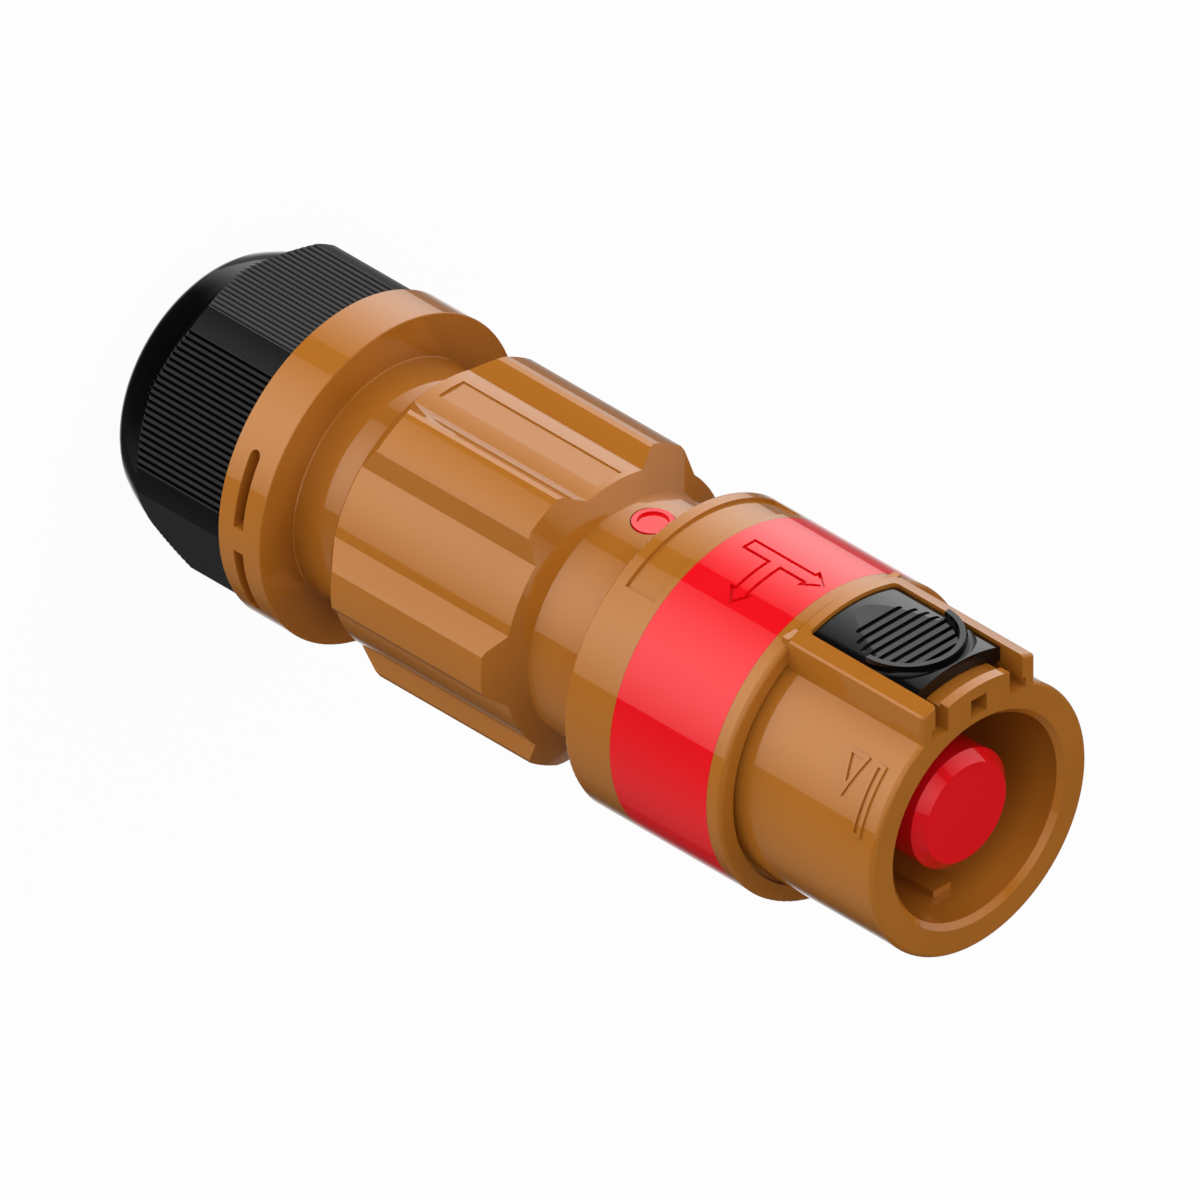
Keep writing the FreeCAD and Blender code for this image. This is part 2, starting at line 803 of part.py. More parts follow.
def grip_section():
    """Six trapezoid ridges: arcs on the tips and on the valley floors, joined by straight flanks."""
    step = 360 / grip_ridge_count
    half_floor = grip_valley_angle / 2
    half_tip = grip_tip_angle / 2
    edges = []
    for index in range(grip_ridge_count):
        valley = index * step
        ridge = valley + step / 2
        floor_ends = [on_circle(grip_valley_radius, valley + turn, grip_bottom)
                      for turn in (-half_floor, 0, half_floor)]
        tip_ends = [on_circle(grip_tip_radius, ridge + turn, grip_bottom)
                    for turn in (-half_tip, 0, half_tip)]
        next_floor = on_circle(grip_valley_radius, valley + step - half_floor, grip_bottom)
        edges.append(Part.Arc(*floor_ends).toShape())
        edges.append(Part.LineSegment(floor_ends[2], tip_ends[0]).toShape())
        edges.append(Part.Arc(*tip_ends).toShape())
        edges.append(Part.LineSegment(tip_ends[2], next_floor).toShape())
    return Part.Face(Part.Wire(edges))


def grip():
    bar = grip_section().extrude(upward * grip_length)
    ridge_edges = [edge for edge in bar.Edges
                   if edge.BoundBox.ZLength > grip_length / 2
                   and math.hypot(edge.CenterOfMass.x, edge.CenterOfMass.y) > grip_valley_radius + 1]
    bar = bar.makeChamfer(grip_edge_chamfer, ridge_edges)
    beyond = 1.0
    envelope = turned([
        (0, grip_bottom),
        (grip_tip_radius - grip_rear_chamfer, grip_bottom),
        (grip_tip_radius + beyond, grip_bottom + grip_rear_chamfer + beyond),
        (grip_tip_radius + beyond, grip_top - grip_front_chamfer),
        (grip_tip_radius, grip_top - grip_front_chamfer),
        (neck_radius, grip_top),
        (0, grip_top),
    ])
    bar = bar.common(envelope)
    top = grip_top - grip_recess_start
    half = grip_recess_width / 2
    return bar.cut(block(-half, half, -grip_tip_radius, -grip_valley_radius + grip_recess_depth,
                         top - grip_recess_length, top))


def lanyard_slots():
    """Round-ended slots in the flange, each with a bridge over its middle that a cord passes under."""
    level = flange_bottom + lanyard_slot_height
    half = lanyard_slot_width / 2
    far = flange_radius + 1
    end = lanyard_slot_reach - half
    cuts = []
    for side in (-1, 1):
        x_slot = sorted((side * lanyard_slot_floor, side * far))
        x_bridge = sorted((side * (flange_radius - lanyard_bridge_thickness), side * far))
        slot = block(x_slot[0], x_slot[1], -end, end, level - half, level + half)
        for y in (-end, end):
            mouth = Vector(x_slot[0], y, level)
            slot = slot.fuse(Part.makeCylinder(half, x_slot[1] - x_slot[0], mouth, Vector(1, 0, 0)))
        bridge = block(x_bridge[0], x_bridge[1], -lanyard_bridge_width / 2, lanyard_bridge_width / 2,
                       level - half, level + half)
        cuts.append(slot.cut(bridge))
    return cuts


thread_end = flange_bottom - gland_thread_length
claw_top = flange_bottom + claw_shoulder_drop


def back_shell():
    core = turned([
        (0, neck_top),
        (neck_radius, neck_top, neck_rounding),
        (neck_radius, grip_top - 1),
        (rear_neck_radius, grip_bottom + 1),
        (rear_neck_radius, flange_top, flange_fillet),
        (flange_radius, flange_top, flange_rounding),
        (flange_radius, flange_bottom, flange_rear_rounding),
        (gland_thread_radius, flange_bottom),
        (gland_thread_radius, thread_end, gland_thread_chamfer),
        (0, thread_end),
    ])
    shell = core.fuse(grip())
    bore = turned([
        (0, neck_top + 1),
        (neck_bore, neck_top + 1),
        (neck_bore, claw_top),
        (claw_seat_radius, claw_top),
        (claw_seat_radius, thread_end - 1),
        (0, thread_end - 1),
    ])
    shell = shell.cut(bore)
    for slot in lanyard_slots():
        shell = shell.cut(slot)
    shell = shell.cut(radial_pin(insert_radius + fit_clearance / 2, neck_bore - 1, plug_floor))
    return shell.cut(radial_pin(plug_radius + plug_clearance, plug_floor, neck_radius + 1))


# Cable gland

finger_end = thread_end - claw_finger_overhang
seal_top = claw_top - claw_lip_thickness
seal_bottom = finger_end + seal_overhang
slip_ring_top = finger_end - slip_ring_gap
slip_ring_bottom = slip_ring_top - slip_ring_thickness


def gland_claw():
    base_bottom = claw_top - claw_base_length
    basket = turned([
        (claw_radius, claw_top),
        (claw_radius, finger_end + claw_finger_taper),
        (claw_radius - claw_finger_chamfer, finger_end),
        (claw_bore, finger_end),
        (claw_bore, seal_top),
        (claw_bore - claw_lip, seal_top),
        (claw_bore - claw_lip, claw_top),
    ])
    half = claw_slot_width / 2
    slot = block(-half, half, claw_bore - 1, claw_radius + 1, finger_end, base_bottom)
    slots = []
    for index in range(claw_finger_count):
        copy = slot.copy()
        copy.rotate(origin, upward, (index + 0.5) * 360 / claw_finger_count)
        slots.append(copy)
    return basket.cut(Part.Compound(slots))


def gland_seal():
    return turned([
        (seal_radius, seal_top, seal_top_rounding),
        (seal_radius, seal_bottom, seal_rounding),
        (seal_bore, seal_bottom, seal_rounding),
        (seal_bore, seal_top, seal_rounding),
    ])


def gland_slip_ring():
    return turned([
        (slip_ring_radius, slip_ring_top),
        (slip_ring_radius, slip_ring_bottom, slip_ring_rounding),
        (slip_ring_inner_radius, slip_ring_bottom, slip_ring_rounding),
        (slip_ring_inner_radius, slip_ring_top),
    ])


def nut_section():
    """A hexagon with rounded corner strips and narrow grooves between the flat ribs of its sides."""
    step = 360 / nut_side_count
    half_side = (step - nut_corner_angle) / 2
    flat = nut_corner_radius * math.cos(math.radians(half_side))
    half_width = nut_corner_radius * math.sin(math.radians(half_side))
    pitch = half_width * 2 / nut_groove_count
    edges = []
    for index in range(nut_side_count):
        middle = math.radians(index * step)
        outward = Vector(math.sin(middle), -math.cos(middle), 0)
        sideways = Vector(math.cos(middle), math.sin(middle), 0)
        points = [outward * flat - sideways * half_width]
        for mark in range(nut_groove_count):
            along = (mark + 0.5) * pitch - half_width
            points.append(outward * flat + sideways * (along - nut_groove_width / 2))
            points.append(outward * (flat - nut_groove_depth) + sideways * along)
            points.append(outward * flat + sideways * (along + nut_groove_width / 2))
        points.append(outward * flat + sideways * half_width)
        for start, end in zip(points, points[1:]):
            edges.append(Part.LineSegment(start, end).toShape())
        corner = index * step + step / 2
        next_start = on_circle(nut_corner_radius, corner + nut_corner_angle / 2, 0)
        edges.append(Part.Arc(points[-1], on_circle(nut_corner_radius, corner, 0), next_start).toShape())
    return Part.Face(Part.Wire(edges))


def nut_bullet():
    """The turned form of the nut: a chamfer below the sides, a nearly straight dome and a rounded nose."""
    shoulder = Vector(nut_corner_radius, 0, nut_top)
    brow = Vector(nut_corner_radius, 0, nut_dome_height)
    dome_start = brow - Vector(nut_brow_chamfer, 0, nut_brow_chamfer)
    nose = Vector(nut_nose_radius, 0, nut_nose_height)
    face_edge = Vector(nut_end_radius, 0, 0)

    def bowed(start, end, bulge):
        chord = end - start
        crest = (start + end) * 0.5 + Vector(-chord.z, 0, chord.x).normalize() * bulge
        return Part.Arc(start, crest, end).toShape()

    wire = Part.Wire([
        Part.LineSegment(origin, upward * nut_top).toShape(),
        Part.LineSegment(upward * nut_top, shoulder).toShape(),
        Part.LineSegment(shoulder, brow).toShape(),
        Part.LineSegment(brow, dome_start).toShape(),
        bowed(dome_start, nose, nut_dome_bulge),
        bowed(nose, face_edge, nut_nose_bulge),
        Part.LineSegment(face_edge, origin).toShape(),
    ])
    return Part.Face(wire).revolve(origin, upward, 360)


def gland_nut():
    body = nut_section().extrude(upward * nut_top).common(nut_bullet())
    seat_radius = slip_ring_radius + slip_ring_gap
    seat_floor = slip_ring_bottom - slip_ring_gap
    bore = turned([
        (0, nut_top + 1),
        (nut_thread_bore, nut_top + 1),
        (nut_thread_bore, thread_end - nut_thread_clearance),
        (seat_radius, thread_end - nut_thread_clearance),
        (seat_radius, seat_floor),
        (nut_hole_radius, seat_floor - (seat_radius - nut_hole_radius)),
        (nut_hole_radius, nut_hole_rounding),
        (nut_hole_radius + nut_hole_rounding, 0),
        (nut_hole_radius + nut_hole_rounding, -1),
        (0, -1),
    ])
    return body.cut(bore)


parts = {
    "gland_nut": gland_nut,
    "gland_slip_ring": gland_slip_ring,
    "gland_claw": gland_claw,
    "gland_seal": gland_seal,
    "back_shell": back_shell,
    "front_shell": front_shell,
    "coding_band": coding_band,
    "lock_slide": lock_slide,
    "latch_bolt": latch_bolt,
    "detent_spring": detent_spring,
    "contact_cap": contact_cap,
    "contact_pin": contact_pin,
    "contact_band": contact_band,
    "contact_key": contact_key,
    "contact_retainer": contact_retainer,
    "contact_seal": contact_seal,
    "clamp_screws": clamp_screws,
    "shell_seal": shell_seal,
    "lock_screw": lock_screw,
    "thread_insert": thread_insert,
    "screw_plug": screw_plug,
}

os.makedirs("parts", exist_ok=True)
for name, build in parts.items():
    save(name, build())
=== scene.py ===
import bmesh
import bpy
import math
from mathutils import Matrix, Vector


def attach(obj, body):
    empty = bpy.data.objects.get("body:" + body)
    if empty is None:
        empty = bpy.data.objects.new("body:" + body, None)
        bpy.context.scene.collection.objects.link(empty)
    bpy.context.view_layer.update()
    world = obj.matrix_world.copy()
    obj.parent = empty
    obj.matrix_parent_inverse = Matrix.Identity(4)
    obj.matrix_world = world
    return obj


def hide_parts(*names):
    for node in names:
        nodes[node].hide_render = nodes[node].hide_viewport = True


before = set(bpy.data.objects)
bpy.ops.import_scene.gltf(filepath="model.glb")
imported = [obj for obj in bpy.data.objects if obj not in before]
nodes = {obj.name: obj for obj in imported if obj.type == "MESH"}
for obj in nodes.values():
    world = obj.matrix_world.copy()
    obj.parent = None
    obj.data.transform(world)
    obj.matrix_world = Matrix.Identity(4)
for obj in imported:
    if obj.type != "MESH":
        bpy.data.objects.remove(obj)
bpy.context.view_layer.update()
perMetre = 1000
print("frame loaded with", len(nodes), "nodes")


# a socket of a node tree that can stand in a sum, so that 1 - mask works
class Wire:
    def __init__(self, socket):
        self.socket = socket

    def maths(self, operation, first, second):
        board = Board(self.socket.id_data)
        return board.node("ShaderNodeMath", {"operation": operation}, {0: first, 1: second})

    def __add__(self, other):
        return self.maths("ADD", self, other)

    def __radd__(self, other):
        return self.maths("ADD", other, self)

    def __sub__(self, other):
        return self.maths("SUBTRACT", self, other)

    def __rsub__(self, other):
        return self.maths("SUBTRACT", other, self)

    def __mul__(self, other):
        return self.maths("MULTIPLY", self, other)

    def __rmul__(self, other):
        return self.maths("MULTIPLY", other, self)

    def __truediv__(self, other):
        return self.maths("DIVIDE", self, other)

    def __rtruediv__(self, other):
        return self.maths("DIVIDE", other, self)

    def __gt__(self, other):
        return self.maths("GREATER_THAN", self, other)

    def __lt__(self, other):
        return self.maths("LESS_THAN", self, other)


# a node tree: every node that isn't part of a sum comes from node()
class Board:
    def __init__(self, tree):
        self.tree = tree

    def node(self, kind, settings=None, sockets=None, out=0):
        made = self.tree.nodes.new(kind)
        for name, value in (settings or {}).items():
            setattr(made, name, value)
        for name, value in (sockets or {}).items():
            if isinstance(value, Wire):
                self.tree.links.new(value.socket, made.inputs[name])
            else:
                made.inputs[name].default_value = value
        if made.outputs:
            return Wire(made.outputs[out])


def newMaterial(name):
    material = bpy.data.materials.new(name)
    material.use_nodes = True
    material.node_tree.nodes.clear()
    return material, Board(material.node_tree)


def opaque(shade):
    return (*shade, 1.0)


def objectPlace(board, stretch=(1, 1, 1)):
    place = board.node("ShaderNodeTexCoord", out="Object")
    return board.node("ShaderNodeMapping", None, {"Vector": place, "Scale": stretch})


def finishSurface(board, sockets):
    surface = board.node("ShaderNodeBsdfPrincipled", None, sockets)
    board.node("ShaderNodeOutputMaterial", None, {"Surface": surface})


# noise in the place on the object, fine where its scale is high
def objectNoise(board, look, name, stretch=(1, 1, 1)):
    return board.node("ShaderNodeTexNoise", None, {
        "Vector": objectPlace(board, stretch),
        "Scale": look[name + "Scale"],
        "Detail": look[name + "Detail"],
    })


# two shades of one colour, mixed by a noise
def mixedShade(board, look, noise):
    share = (noise - look["mixFrom"]) / look["mixSpan"]
    shades = {0: share, 6: opaque(look["deep"]), 7: opaque(look["pale"])}
    return board.node("ShaderNodeMix", {"data_type": "RGBA"}, shades, out=2)


# moulded plastic: faint flow marks in the colour, a fine spark grain in gloss and surface
def mouldedPlastic(name, look):
    material, board = newMaterial(name)
    flow = objectNoise(board, look, "flow", look["flowStretch"])
    grain = objectNoise(board, look, "grain")
    smear = objectNoise(board, look, "smear")
    roughness = look["roughness"] + (smear - 0.5) * look["smear"] + (grain - 0.5) * look["grainGloss"]
    finishSurface(board, {
        "Base Color": mixedShade(board, look, flow),
        "Roughness": roughness,
        "IOR": look["ior"],
        "Specular IOR Level": look["gloss"],
        "Specular Tint": opaque(look["tint"]),
        "Normal": board.node("ShaderNodeBump", None, {
            "Strength": look["grainStrength"],
            "Distance": look["grainDepth"],
            "Height": grain,
        }),
    })
    return material


# turned or stamped metal: fine tool rings along the axis under a faint tarnish
def workedMetal(name, look):
    material, board = newMaterial(name)
    rings = board.node("ShaderNodeTexWave", {"wave_type": "BANDS", "bands_direction": "Z"}, {
        "Vector": objectPlace(board),
        "Scale": look["ringScale"],
        "Distortion": look["ringWander"],
        "Detail": look["ringDetail"],
    })
    tarnish = objectNoise(board, look, "tarnish")
    finishSurface(board, {
        "Base Color": mixedShade(board, look, tarnish),
        "Metallic": 1.0,
        "Roughness": look["roughness"] + tarnish * look["tarnishGloss"],
        "Normal": board.node("ShaderNodeBump", None, {
            "Strength": look["ringStrength"],
            "Distance": look["ringDepth"],
            "Height": rings,
        }),
    })
    return material


plasticLook = {
    "flowScale": 45.0, "flowDetail": 3.0, "flowStretch": (1, 1, 0.3), "mixFrom": 0.35, "mixSpan": 0.3,
    "smearScale": 160.0, "smearDetail": 4.0, "smear": 0.02, "grainScale": 2600.0, "grainDetail": 2.0,
    "grainGloss": 0.02, "grainStrength": 0.05, "grainDepth": 0.00001,
    "roughness": 0.045, "ior": 1.5, "gloss": 0.5, "tint": (1, 1, 1),
}
shellLook = {
    **plasticLook, "deep": (0.415, 0.141, 0.015), "pale": (0.445, 0.155, 0.018),
    "gloss": 0.8, "tint": (1.0, 0.74, 0.56),
}
redLook = {
    **plasticLook, "deep": (0.80, 0.003, 0.008), "pale": (0.85, 0.005, 0.011),
    "gloss": 0.8, "tint": (1.0, 0.56, 0.58),
}
glandLook = {
    **plasticLook, "deep": (0.0012, 0.0012, 0.0013), "pale": (0.002, 0.002, 0.0021),
    "roughness": 0.07, "gloss": 0.2,
}
slideLook = {
    **plasticLook, "deep": (0.002, 0.002, 0.0022), "pale": (0.003, 0.003, 0.0032),
    "roughness": 0.08, "gloss": 0.4,
}
nylonLook = {
    **plasticLook, "deep": (0.60, 0.57, 0.47), "pale": (0.66, 0.63, 0.54),
    "roughness": 0.35,
}
rubberLook = {
    **plasticLook, "deep": (0.012, 0.012, 0.012), "pale": (0.018, 0.018, 0.017),
    "roughness": 0.62, "grainStrength": 0.25, "grainScale": 900.0,
}
copperLook = {
    "deep": (0.62, 0.29, 0.17), "pale": (0.78, 0.42, 0.27), "mixFrom": 0.3, "mixSpan": 0.4,
    "roughness": 0.22, "tarnishGloss": 0.15, "tarnishScale": 130.0, "tarnishDetail": 5.0,
    "ringScale": 2200.0, "ringDetail": 2.0, "ringWander": 1.5, "ringStrength": 0.3, "ringDepth": 0.00002,
}
louvreLook = {**copperLook, "deep": (0.72, 0.52, 0.24), "pale": (0.83, 0.66, 0.36), "roughness": 0.18}
brassLook = {**copperLook, "deep": (0.62, 0.43, 0.15), "pale": (0.76, 0.56, 0.24)}
steelLook = {
    **copperLook, "deep": (0.09, 0.09, 0.095), "pale": (0.15, 0.15, 0.16),
    "roughness": 0.3, "tarnishScale": 500.0,
}

finishes = {
    "shellPlastic": mouldedPlastic("shellPlastic", shellLook),
    "redPlastic": mouldedPlastic("redPlastic", redLook),
    "glandPlastic": mouldedPlastic("glandPlastic", glandLook),
    "slidePlastic": mouldedPlastic("slidePlastic", slideLook),
    "plainNylon": mouldedPlastic("plainNylon", nylonLook),
    "sealRubber": mouldedPlastic("sealRubber", rubberLook),
    "turnedCopper": workedMetal("turnedCopper", copperLook),
    "louvreStrip": workedMetal("louvreStrip", louvreLook),
    "turnedBrass": workedMetal("turnedBrass", brassLook),
    "darkSteel": workedMetal("darkSteel", steelLook),
}
nodeFinish = {
    "front_shell": "shellPlastic", "back_shell": "shellPlastic",
    "coding_band": "redPlastic", "contact_cap": "redPlastic", "screw_plug": "redPlastic",
    "gland_nut": "glandPlastic", "gland_claw": "glandPlastic", "gland_slip_ring": "plainNylon",
    "gland_seal": "sealRubber", "contact_seal": "sealRubber", "shell_seal": "sealRubber",
    "lock_slide": "slidePlastic", "latch_bolt": "darkSteel", "detent_spring": "darkSteel",
    "contact_pin": "turnedCopper", "contact_band": "louvreStrip", "contact_key": "plainNylon",
    "contact_retainer": "darkSteel", "clamp_screws": "darkSteel", "lock_screw": "darkSteel",
    "thread_insert": "turnedBrass",
}
for node, finish in nodeFinish.items():
    mesh = nodes[node].data
    mesh.materials.clear()
    mesh.materials.append(finishes[finish])
print("materials made:", len(finishes))


def newPiece(name, mesh, finish, body="housing"):
    piece = bpy.data.objects.new(name, mesh)
    bpy.context.scene.collection.objects.link(piece)
    mesh.materials.clear()
    mesh.materials.append(finishes[finish])
    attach(piece, body)
    return piece


def meshFrom(shape, name):
    mesh = bpy.data.meshes.new(name)
    shape.to_mesh(mesh)
    shape.free()
    return mesh


# a closed plate with a flat outline of (length round the axis, height), in millimetres, bent onto a
# cylinder; with a line width it is only the outline's own line, and step is the width of its facets
def bentPlate(name, outline, radius, inner, outer, line=0.0, step=1.0, closest=1e-5):
    shape = bmesh.new()
    corners = [shape.verts.new((along, -inner, height)) for along, height in outline]
    shape.faces.new(corners)
    shape.normal_update()
    if line:
        field = shape.faces[:]
        bmesh.ops.inset_individual(shape, faces=field, thickness=line, use_even_offset=True)
        bmesh.ops.delete(shape, geom=field, context="FACES")
    grown = bmesh.ops.extrude_face_region(shape, geom=shape.faces[:])["geom"]
    raised = [item for item in grown if isinstance(item, bmesh.types.BMVert)]
    bmesh.ops.translate(shape, vec=(0, inner - outer, 0), verts=raised)
    low = min(along for along, height in outline)
    high = max(along for along, height in outline)
    for index in range(1, int((high - low) / step) + 1):
        everything = shape.verts[:] + shape.edges[:] + shape.faces[:]
        place = (low + index * step, 0, 0)
        bmesh.ops.bisect_plane(shape, geom=everything, plane_co=place, plane_no=(1, 0, 0), dist=closest)
    bmesh.ops.triangulate(shape, faces=shape.faces[:])
    for corner in shape.verts:
        turn = corner.co.x / radius
        distance = corner.co.y
        bent = Vector((-distance * math.sin(turn), distance * math.cos(turn), corner.co.z))
        corner.co = bent / perMetre
    bmesh.ops.recalc_face_normals(shape, faces=shape.faces[:])
    return meshFrom(shape, name)


# true round normals on faces that look straight out from the axis or in to it, flat ones everywhere else
def roundNormals(mesh, straight=0.99):
    mesh.shade_smooth()
    normals = []
    for face in mesh.polygons:
        for index in face.vertices:
            outward = mesh.vertices[index].co * Vector((1, 1, 0))
            outward.normalize()
            share = face.normal.dot(outward)
            normals.append(math.copysign(1, share) * outward if abs(share) > straight else face.normal)
    mesh.normals_split_custom_set(normals)


# coding band: the plain CAD ring with the outline of a push-and-turn arrow cut into it, in millimetres
bandArrow = {
    "radius": 32.1, "depth": 0.8, "proud": 0.5, "line": 0.7,
    "start": 138.7, "shaft": 1.8, "neck": 154.2, "head": 3.1, "tip": 158.5,
    "branchHeight": 146.9, "branchHalf": 1.8, "branchNeck": 9.9, "branchHead": 3.0, "branchTip": 13.7,
}


def engravedBand(look, weld=1e-7):
    shaft = look["shaft"]
    head = look["head"]
    neck = look["neck"]
    middle = look["branchHeight"]
    half = look["branchHalf"]
    reach = look["branchNeck"]
    outline = [
        (-shaft, look["start"]), (shaft, look["start"]),
        (shaft, middle - half), (reach, middle - half), (reach, middle - look["branchHead"]),
        (look["branchTip"], middle),
        (reach, middle + look["branchHead"]), (reach, middle + half), (shaft, middle + half),
        (shaft, neck), (head, neck), (0, look["tip"]), (-head, neck), (-shaft, neck),
    ]
    radius = look["radius"]
    inner = radius - look["depth"]
    outer = radius + look["proud"]
    plate = bentPlate("arrowCutter", outline, radius, inner, outer, look["line"])
    cutter = bpy.data.objects.new("arrowCutter", plate)
    bpy.context.scene.collection.objects.link(cutter)
    shape = bmesh.new()
    shape.from_mesh(nodes["coding_band"].data)
    bmesh.ops.remove_doubles(shape, verts=shape.verts[:], dist=weld)
    band = newPiece("arrowBand", meshFrom(shape, "arrowBand"), "redPlastic")
    carve = band.modifiers.new("carve", "BOOLEAN")
    carve.operation = "DIFFERENCE"
    carve.solver = "EXACT"
    carve.object = cutter
    graph = bpy.context.evaluated_depsgraph_get()
    carved = bpy.data.meshes.new_from_object(band.evaluated_get(graph))
    band.modifiers.clear()
    band.data = carved
    bpy.data.objects.remove(cutter)
    roundNormals(carved)
    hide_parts("coding_band")


engravedBand(bandArrow)

# sleeve: the raised outlines of a plain pointer and bar; turn is in degrees from the slide's side, the
# rest in millimetres
sleeveMark = {
    "radius": 27.7, "raise": 0.4, "root": 0.3, "line": 0.75, "turn": 60.0,
    "pointer": [(-7.2, 184.8), (1.6, 187.4), (-7.2, 190.0)],
    "bar": [(-7.2, 191.8), (7.2, 191.8), (7.2, 194.2), (-7.2, 194.2)],
}


def raisedMark(look):
    radius = look["radius"]
    inner = radius - look["root"]
    outer = radius + look["raise"]
    middle = math.radians(look["turn"]) * radius
    for part in ("pointer", "bar"):
        name = "sleeve_" + part
        outline = [(middle + along, height) for along, height in look[part]]
        mesh = bentPlate(name, outline, radius, inner, outer, look["line"])
        roundNormals(mesh)
        newPiece(name, mesh, "shellPlastic")


raisedMark(sleeveMark)

# gland thread: one low ridge wound round the end of the back shell, seen once the nut is run back;
# lengths in millimetres, steps in each turn, and edges over the sharp angle in degrees stay crisp
glandThread = {
    "radius": 25.0, "rise": 0.22, "root": 0.1, "foot": 1.1, "crest": 0.4,
    "pitch": 1.5, "from": 21.6, "to": 34.4, "steps": 32, "sharp": 30.0,
}


def woundThread(look):
    shape = bmesh.new()
    inner = look["radius"] - look["root"]
    outer = look["radius"] + look["rise"]
    halfFoot = look["foot"] / 2
    halfCrest = look["crest"] / 2
    section = [(inner, -halfFoot), (outer, -halfCrest), (outer, halfCrest), (inner, halfFoot)]
    corners = [shape.verts.new((0, -across, look["from"] + halfFoot + lift)) for across, lift in section]
    face = bmesh.ops.contextual_create(shape, geom=corners)["faces"]
    turns = (look["to"] - look["from"] - look["foot"]) / look["pitch"]
    steps = int(turns * look["steps"])
    climb = look["pitch"] * turns / steps
    bmesh.ops.spin(shape, geom=corners + shape.edges[:] + face, cent=(0, 0, 0), axis=(0, 0, 1),
                   angle=turns * 2 * math.pi, dvec=(0, 0, climb), steps=steps)
    bmesh.ops.scale(shape, vec=(1 / perMetre, 1 / perMetre, 1 / perMetre), verts=shape.verts[:])
    bmesh.ops.recalc_face_normals(shape, faces=shape.faces[:])
    mesh = meshFrom(shape, "gland_thread")
    mesh.shade_smooth()
    mesh.set_sharp_from_angle(angle=math.radians(look["sharp"]))
    newPiece("gland_thread", mesh, "shellPlastic")


woundThread(glandThread)
print("pieces made: engraved band, sleeve mark, gland thread")

# floor: white to the camera apart from a trace of the object's shadow, while shiny and diffuse rays pass
# it by and see the studio; its size is in metres
floorLook = {"size": 8.0, "colour": (0.80, 0.80, 0.80), "shadow": 0.04}


def layFloor(look):
    shape = bmesh.new()
    bmesh.ops.create_grid(shape, x_segments=1, y_segments=1, size=look["size"] / 2)
    mesh = meshFrom(shape, "floor")
    floor = bpy.data.objects.new("floor", mesh)
    bpy.context.scene.collection.objects.link(floor)
    material, board = newMaterial("floorBoard")
    plain = board.node("ShaderNodeBsdfDiffuse", None, {"Color": opaque(look["colour"])})
    white = board.node("ShaderNodeEmission", None, {"Color": (1, 1, 1, 1), "Strength": 1.0})
    camera = board.node("ShaderNodeLightPath", out="Is Camera Ray")
    shiny = board.node("ShaderNodeLightPath", out="Is Glossy Ray")
    through = board.node("ShaderNodeLightPath", out="Is Transmission Ray")
    seen = (camera + shiny + through) * (1 - look["shadow"])
    mixed = board.node("ShaderNodeMixShader", None, {0: seen, 1: plain, 2: white})
    board.node("ShaderNodeOutputMaterial", None, {"Surface": mixed})
    mesh.materials.append(material)
    floor.visible_glossy = False
    floor.visible_diffuse = False


layFloor(floorLook)

# the studio. Diffuse light: a dome, bright on the slide's side and dim overhead, a narrow light straight
# above, a pale ring low down and the floor's bounce from beneath. Reflections see tall softboxes instead,
# which fade out towards straight down and are half as bright from nearly level upwards; those that stand
# low reach no higher than level. Their turns are in degrees from the slide's side; From and To are heights
# or facings between -1 and 1
studio = {
    "top": (0.26, -0.966, 0.0), "dome": 1.7, "domeFrom": -0.15, "domeTo": 0.6,
    "overhead": 0.2, "overheadFrom": 0.7, "overheadTo": 0.92,
    "zenith": 2.0, "zenithFrom": 0.91, "zenithTo": 0.95,
    "ring": 0.35, "ringShare": 1.2, "ringShareFrom": -0.9, "ringShareTo": 0.2,
    "ringFrom": 0.1, "ringTo": 0.32, "levelFrom": -0.1, "levelTo": 0.1,
    "bounceRim": 0.65, "bounce": 2.0, "bounceFrom": 0.15, "bounceTo": 0.6,
    "boxes": [
        {"low": 6.0, "high": 95.0, "middle": 53.0, "fade": 75.0, "peak": 2.1},
        {"low": -97.0, "high": -11.0, "middle": -58.0, "fade": 68.0, "peak": 2.3},
        {"low": 95.0, "high": 180.0, "middle": 140.0, "fade": 60.0, "peak": 0.2},
        {"low": -165.0, "high": -105.0, "middle": -135.0, "fade": 30.0, "peak": 1.2, "standsLow": True},
        {"low": -125.0, "high": -97.0, "middle": -111.0, "fade": 60.0, "peak": 0.2, "standsLow": True},
    ],
    "dim": 0.05, "footFrom": 0.76, "footTo": 0.94,
    "upperDim": 0.03, "upperShare": 0.5, "upperFrom": -0.48, "upperTo": -0.2,
}


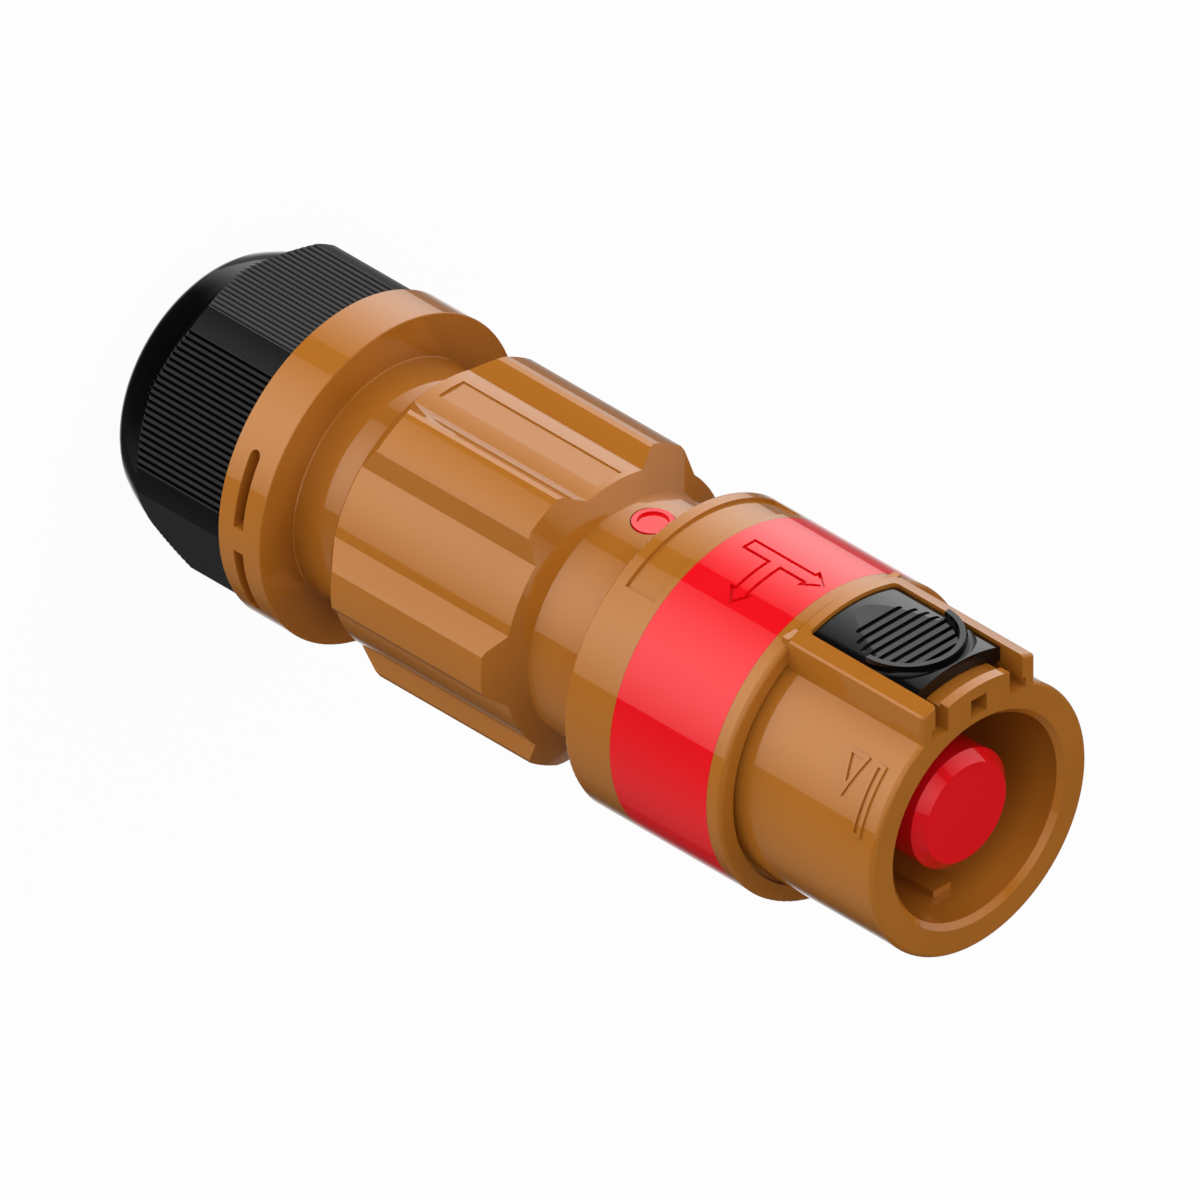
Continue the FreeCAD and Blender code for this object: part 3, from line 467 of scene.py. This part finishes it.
def lightStudio(look):
    world = bpy.data.worlds.new("studio")
    bpy.context.scene.world = world
    world.use_nodes = True
    world.node_tree.nodes.clear()
    board = Board(world.node_tree)

    def ramp(value, start, end, low, high):
        return board.node("ShaderNodeMapRange", {"interpolation_type": "SMOOTHSTEP"},
                          {0: value, 1: start, 2: end, 3: low, 4: high})

    way = board.node("ShaderNodeTexCoord", out="Generated")
    x = board.node("ShaderNodeSeparateXYZ", None, {0: way}, out="X")
    y = board.node("ShaderNodeSeparateXYZ", None, {0: way}, out="Y")
    z = board.node("ShaderNodeSeparateXYZ", None, {0: way}, out="Z")
    turn = board.node("ShaderNodeMath", {"operation": "ARCTAN2"}, {0: x, 1: 0 - y}) * (180 / math.pi)
    foot = ramp(z, -look["footTo"], -look["footFrom"], 0.0, 1.0)
    upper = ramp(z, look["upperFrom"], look["upperTo"], 0.0, 1.0)
    share = foot * (1 - upper * (1 - look["upperShare"]))
    gloss = look["dim"] + upper * look["upperDim"]
    for box in look["boxes"]:
        swell = board.node("ShaderNodeMath", {"operation": "COSINE"},
                           {0: (turn - box["middle"]) * (math.pi / 2 / box["fade"])})
        glow = (turn > box["low"]) * (turn < box["high"]) * swell * swell * box["peak"]
        if "standsLow" in box:
            glow = glow * (z < 0)
        gloss = gloss + glow * share
    facing = board.node("ShaderNodeVectorMath", {"operation": "DOT_PRODUCT"}, {0: way, 1: look["top"]},
                        out="Value")
    dome = ramp(facing, look["domeFrom"], look["domeTo"], 0.0, look["dome"])
    dome = dome * ramp(z, look["overheadFrom"], look["overheadTo"], 1.0, look["overhead"])
    farRing = look["ring"] * look["ringShare"]
    ring = ramp(facing, look["ringShareFrom"], look["ringShareTo"], farRing, look["ring"])
    high = ramp(z, look["ringFrom"], look["ringTo"], 0.0, 1.0)
    zenith = ramp(z, look["zenithFrom"], look["zenithTo"], 0.0, look["zenith"])
    above = dome * high + ring * (1 - high) + zenith
    beneath = ramp(z, -look["bounceFrom"], -look["bounceTo"], look["bounceRim"], look["bounce"])
    level = ramp(z, look["levelFrom"], look["levelTo"], 0.0, 1.0)
    soft = above * level + beneath * (1 - level)
    seen = board.node("ShaderNodeLightPath", out="Is Camera Ray")
    seen = seen + board.node("ShaderNodeLightPath", out="Is Transmission Ray")
    shiny = board.node("ShaderNodeLightPath", out="Is Glossy Ray")
    strength = seen + (1 - seen) * (shiny * gloss + (1 - shiny) * soft)
    light = board.node("ShaderNodeBackground", None, {"Color": (1, 1, 1, 1), "Strength": strength})
    board.node("ShaderNodeOutputWorld", None, {"Surface": light})


lightStudio(studio)
print("floor and studio ready")

# camera: a parallel view with the slide's side up, aimed in metres from the mouth's centre
cameraSet = {
    "right": (-1, 0, 1), "up": (-1, -2, -1), "back": (1, -1, 1),
    "rim": 0.198, "across": -0.0689, "above": 0.0400, "width": 0.21818, "near": 0.01, "far": 20,
}


def placeCamera(look):
    right, up, back = (Vector(look[key]).normalized() for key in ("right", "up", "back"))
    aim = Vector((0, 0, look["rim"])) + right * look["across"] + up * look["above"]
    data = bpy.data.cameras.new("camera")
    data.type = "ORTHO"
    data.ortho_scale = look["width"]
    data.clip_start = look["near"]
    data.clip_end = look["far"]
    camera = bpy.data.objects.new("camera", data)
    bpy.context.scene.collection.objects.link(camera)
    turn = Matrix((right, up, back)).transposed().to_4x4()
    camera.matrix_world = Matrix.Translation(aim + back) @ turn
    bpy.context.scene.camera = camera


placeCamera(cameraSet)
bpy.context.scene.view_settings.view_transform = "Standard"
